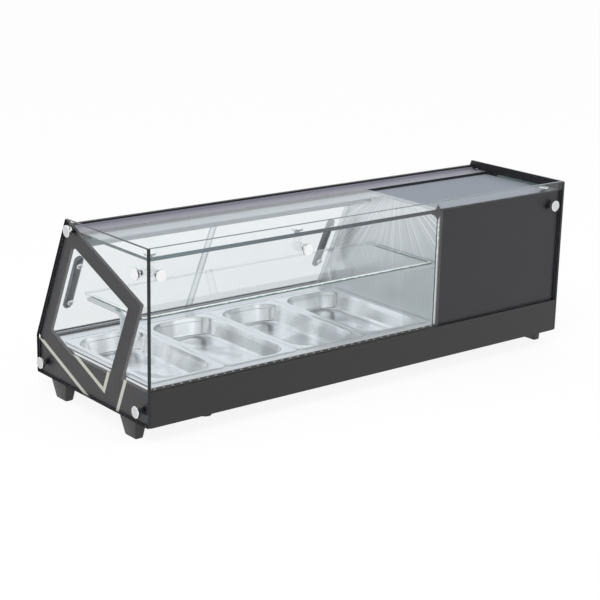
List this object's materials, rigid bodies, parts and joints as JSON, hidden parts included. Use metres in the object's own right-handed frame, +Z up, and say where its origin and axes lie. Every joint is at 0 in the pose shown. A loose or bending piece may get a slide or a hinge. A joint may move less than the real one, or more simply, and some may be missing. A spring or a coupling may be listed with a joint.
{
  "type": "refrigerated tapas display case",
  "caption": "Countertop refrigerated display with glass walls, sunk pans, a glass shelf, rear sliding doors and a side compressor bay.",
  "frame": {"origin": "centre of the bounding box, on the plane the feet stand on", "axes": "+X along the case towards the compressor bay, +Y from the front pane to the rear doors, +Z up"},
  "size_m": [1.126, 0.421, 0.379],
  "materials": {
    "clear_glass": "polished clear tempered glass with green edges",
    "black_print": "gloss black enamel printed on glass",
    "pale_print": "pale champagne enamel line",
    "black_steel": "semi-gloss black powder coat",
    "stainless": "bright stainless sheet",
    "satin_aluminium": "satin anodised",
    "chrome": "polished chrome with satin faces",
    "clear_plastic": "clear grey plastic",
    "foam": "rigid foam",
    "copper": "drawn copper tube",
    "seal": "black silicone",
    "black_plastic": "fine-textured black plastic",
    "handle_grey": "satin dark grey",
    "lamp_white": "white lamp",
    "white_plastic": "white plastic",
    "display_window": "dark red window",
    "key_grey": "satin grey keys",
    "rocker_black": "gloss black rocker",
    "compressor_black": "black enamel",
    "fin_aluminium": "thin aluminium fins"
  },
  "bodies": {
    "case": {"base_shell": "black_steel", "bay_front_panel": "black_steel", "bay_rear_panel": "black_steel", "bay_rear_screws": "stainless", "bay_roof_panel": "black_steel", "cable_gland": "black_plastic", "compressor": "compressor_black", "compressor_mounts": "seal", "condenser": "fin_aluminium", "drain_spigot": "white_plastic", "electrical_box": "white_plastic", "evaporator_coil": "copper", "fan_motor": "compressor_black", "fan_shroud": "black_plastic", "feet": "black_plastic", "foam_insulation": "foam", "front_pane": "clear_glass", "glass_caps": "chrome", "glass_connectors": "chrome", "glazing_seal": "seal", "left_end_pane": "clear_glass", "left_pane_lines": "pale_print", "left_pane_print": "black_print", "light_strip": "satin_aluminium", "light_strip_lamps": "lamp_white", "lower_track": "satin_aluminium", "pan_bars": "stainless", "partition_skin": "stainless", "rear_header": "black_steel", "refrigerant_pipes": "copper", "right_end_pane": "clear_glass", "right_pane_print": "black_print", "roof_pane": "clear_glass", "shelf_bracket": "satin_aluminium", "shelf_clips": "clear_plastic", "shelf_glass": "clear_glass", "switch_bodies": "black_plastic", "temperature_probe": "white_plastic", "thermostat": "black_plastic", "thermostat_display": "display_window", "upper_track": "satin_aluminium", "well_liner": "stainless", "well_surround": "stainless"},
    "left_door": {"door_left": "clear_glass", "door_left_handle": "handle_grey", "door_left_nuts": "chrome"},
    "right_door": {"door_right": "clear_glass", "door_right_handle": "handle_grey", "door_right_nuts": "chrome"},
    "pan_1": {"pan_1": "stainless"},
    "pan_2": {"pan_2": "stainless"},
    "pan_3": {"pan_3": "stainless"},
    "pan_4": {"pan_4": "stainless"},
    "fan": {"fan_blade": "black_plastic"},
    "set_key": {"set_key": "key_grey"},
    "down_key": {"down_key": "key_grey"},
    "up_key": {"up_key": "key_grey"},
    "power_rocker": {"power_rocker": "rocker_black"},
    "light_rocker": {"light_rocker": "rocker_black"},
    "drain_cap": {"drain_cap": "white_plastic"}
  },
  "joints": [
    {"name": "left_door_slide", "type": "slide", "parent": "case", "child": "left_door", "axis": [1, 0, 0], "range_m": [0, 0.29]},
    {"name": "right_door_slide", "type": "slide", "parent": "case", "child": "right_door", "axis": [1, 0, 0], "range_m": [-0.29, 0]},
    {"name": "pan_1_lift", "type": "slide", "parent": "case", "child": "pan_1", "axis": [0, 0, 1], "range_m": [0, 0.07]},
    {"name": "pan_2_lift", "type": "slide", "parent": "case", "child": "pan_2", "axis": [0, 0, 1], "range_m": [0, 0.07]},
    {"name": "pan_3_lift", "type": "slide", "parent": "case", "child": "pan_3", "axis": [0, 0, 1], "range_m": [0, 0.07]},
    {"name": "pan_4_lift", "type": "slide", "parent": "case", "child": "pan_4", "axis": [0, 0, 1], "range_m": [0, 0.07]},
    {"name": "fan_spin", "type": "hinge", "parent": "case", "child": "fan", "pos_m": [0.342, 0.0825, 0.13], "axis": [0, 1, 0], "continuous": true},
    {"name": "set_key_press", "type": "slide", "parent": "case", "child": "set_key", "axis": [0, -0.9071, -0.421], "range_m": [0, 0.0008], "stiffness_N_per_m": 400, "springref_m": -0.0008},
    {"name": "down_key_press", "type": "slide", "parent": "case", "child": "down_key", "axis": [0, -0.9071, -0.421], "range_m": [0, 0.0008], "stiffness_N_per_m": 400, "springref_m": -0.0008},
    {"name": "up_key_press", "type": "slide", "parent": "case", "child": "up_key", "axis": [0, -0.9071, -0.421], "range_m": [0, 0.0008], "stiffness_N_per_m": 400, "springref_m": -0.0008},
    {"name": "power_rocker_tilt", "type": "hinge", "parent": "case", "child": "power_rocker", "pos_m": [0.415, 0.13336, 0.27664], "axis": [1, 0, 0], "range_deg": [-16, 0]},
    {"name": "light_rocker_tilt", "type": "hinge", "parent": "case", "child": "light_rocker", "pos_m": [0.445, 0.13336, 0.27664], "axis": [1, 0, 0], "range_deg": [-16, 0]},
    {"name": "drain_cap_pull", "type": "slide", "parent": "case", "child": "drain_cap", "axis": [0, 0, -1], "range_m": [0, 0.012]}
  ]
}
